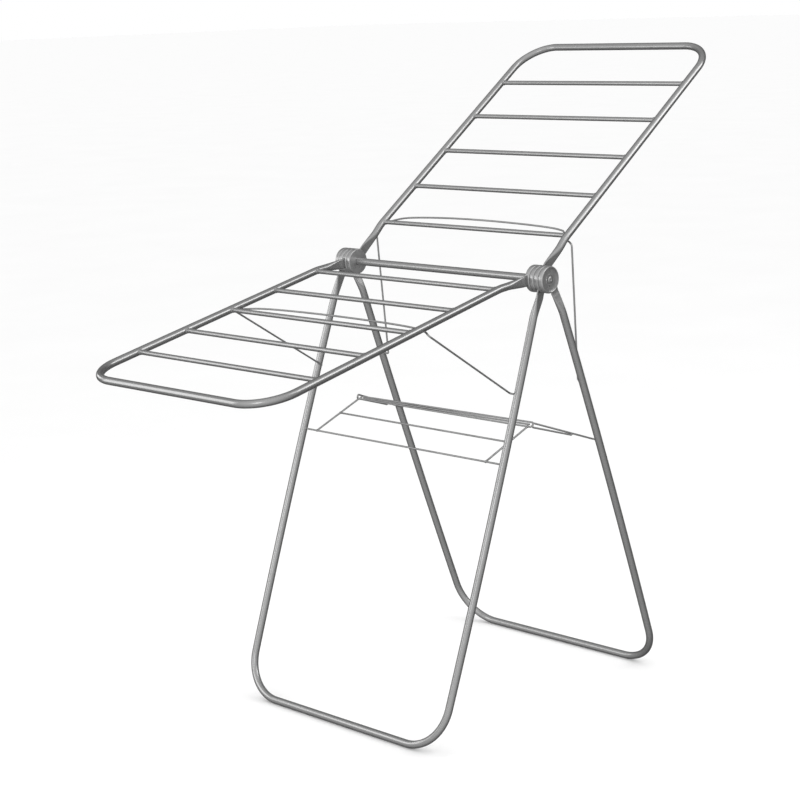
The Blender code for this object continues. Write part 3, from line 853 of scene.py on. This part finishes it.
for half in (FRONT, REAR):
    build_leg_frame(half)
    build_wing(half)
    build_discs(half)
build_hinge_axis()
build_support(FRONT, front_crossbar)
build_support(REAR, rear_crossbar)
shelf_pivot, shelf_back = build_shelf()
rear_pivot = leg_point(REAR, SHELF_PIVOT) * Vector((1, -1, 1)) + Vector((0, 0, HINGE_HEIGHT))
for number, label in enumerate(("left", "right")):
    build_link(label, number, shelf_pivot + shelf_back - rear_pivot,
               Matrix.Translation(rear_pivot))


# ---------------------------------------------------------------- floor, light, camera
FLOOR_SIZE = 200
ROOM_LOW = 0.11                      # grey of the reflected room behind the rack
ROOM_HIGH = 0.80                     # and on its bright side
BRIGHT_SIDE = (0.33, -0.80, 0.50)    # direction of the bright side


def floor_material():
    material, tree, shader, place = new_material("studio_floor")
    mottle = noise_socket(tree, place, 2.0, 3.0)
    tree.links.new(ramp_grey(tree, mottle, 0.965, 0.98), shader.inputs["Base Color"])
    shader.inputs["Roughness"].default_value = 0.95
    shader.inputs["Specular IOR Level"].default_value = 0.0
    return material


def studio_world():
    """White for the eye and for the floor, a grey room in the reflections."""
    world = bpy.data.worlds.new("studio")
    bpy.context.scene.world = world
    world.use_nodes = True
    tree = world.node_tree
    background = tree.nodes["Background"]
    background.inputs["Color"].default_value = (1.0, 1.0, 1.0, 1.0)
    background.inputs["Strength"].default_value = 1.0
    room = node(tree, "ShaderNodeBackground")
    facing = node(tree, "ShaderNodeVectorMath", operation="DOT_PRODUCT")
    tree.links.new(node(tree, "ShaderNodeTexCoord").outputs["Generated"], facing.inputs[0])
    facing.inputs[1].default_value = BRIGHT_SIDE
    brightness = ramp_value(tree, facing.outputs["Value"], 0.0, 1.0, -0.60, 0.90)
    tree.links.new(ramp_grey(tree, brightness, ROOM_LOW, ROOM_HIGH, 0.0, 1.0),
                   room.inputs["Color"])
    mix = node(tree, "ShaderNodeMixShader")
    path = node(tree, "ShaderNodeLightPath")
    tree.links.new(path.outputs["Is Glossy Ray"], mix.inputs["Fac"])
    tree.links.new(background.outputs[0], mix.inputs[1])
    tree.links.new(room.outputs[0], mix.inputs[2])
    tree.links.new(mix.outputs[0], tree.nodes["World Output"].inputs["Surface"])


def softbox(name, place, target, size, radiance):
    """A rectangular light that faces its target."""
    light = bpy.data.lights.new(name, "AREA")
    light.shape = "RECTANGLE"
    light.size, light.size_y = size
    light.energy = radiance * math.pi * size[0] * size[1]
    lamp = bpy.data.objects.new(name, light)
    bpy.context.scene.collection.objects.link(lamp)
    lamp.location = place
    way = Vector(target) - Vector(place)
    lamp.rotation_euler = way.to_track_quat("-Z", "Y").to_euler()


def place_camera(name, place, azimuth, pitch, roll, focal_length):
    """A camera that looks down by the pitch, azimuth from +Y and roll in degrees."""
    azimuth, pitch, roll = (math.radians(angle) for angle in (azimuth, pitch, roll))
    forward = Vector((-math.sin(azimuth) * math.cos(pitch), math.cos(azimuth) * math.cos(pitch),
                      -math.sin(pitch)))
    right = Vector((math.cos(azimuth), math.sin(azimuth), 0))
    upward = right.cross(forward)
    level_right = right * math.cos(roll) + upward * math.sin(roll)
    level_up = upward * math.cos(roll) - right * math.sin(roll)
    view = Matrix((level_right, level_up, -forward)).transposed().to_4x4()
    view.translation = Vector(place)
    lens = bpy.data.cameras.new(name)
    lens.lens = focal_length
    lens.sensor_width = 36
    camera = bpy.data.objects.new(name, lens)
    bpy.context.scene.collection.objects.link(camera)
    camera.matrix_world = view
    bpy.context.scene.camera = camera


bpy.ops.mesh.primitive_plane_add(size=FLOOR_SIZE)
floor = bpy.context.object
floor.name = "studio_floor"
floor.data.materials.append(floor_material())
floor.visible_glossy = False
floor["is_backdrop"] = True
studio_world()
softbox("key_softbox", (-1.25, -1.75, 1.15), (0.0, -0.7, 0.8), (0.8, 1.3), 1.15)
softbox("front_softbox", (0.9, -2.8, 1.6), (0.0, 0.0, 0.6), (0.8, 0.9), 1.3)
softbox("left_softbox", (-1.9, -0.8, 1.2), (0.0, 0.0, 0.8), (0.9, 0.5), 1.5)
softbox("right_softbox", (2.2, 1.6, 2.5), (0.1, -0.3, 0.8), (1.5, 1.2), 2.0)
softbox("top_softbox", (1.9, 0.5, 3.1), (0.1, 0.4, 1.0), (1.4, 1.4), 0.8)
place_camera("photo_camera", (2.7229, -2.9579, 1.4815), azimuth=44.044, pitch=11.792,
             roll=-1.934, focal_length=85.47)
bpy.context.scene.view_settings.view_transform = "Standard"

({"cad": [list(row) if hasattr(row, "__len__") else row for row in cad_bounds],
           "finished": [list(row) if hasattr(row, "__len__") else row
                        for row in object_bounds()]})
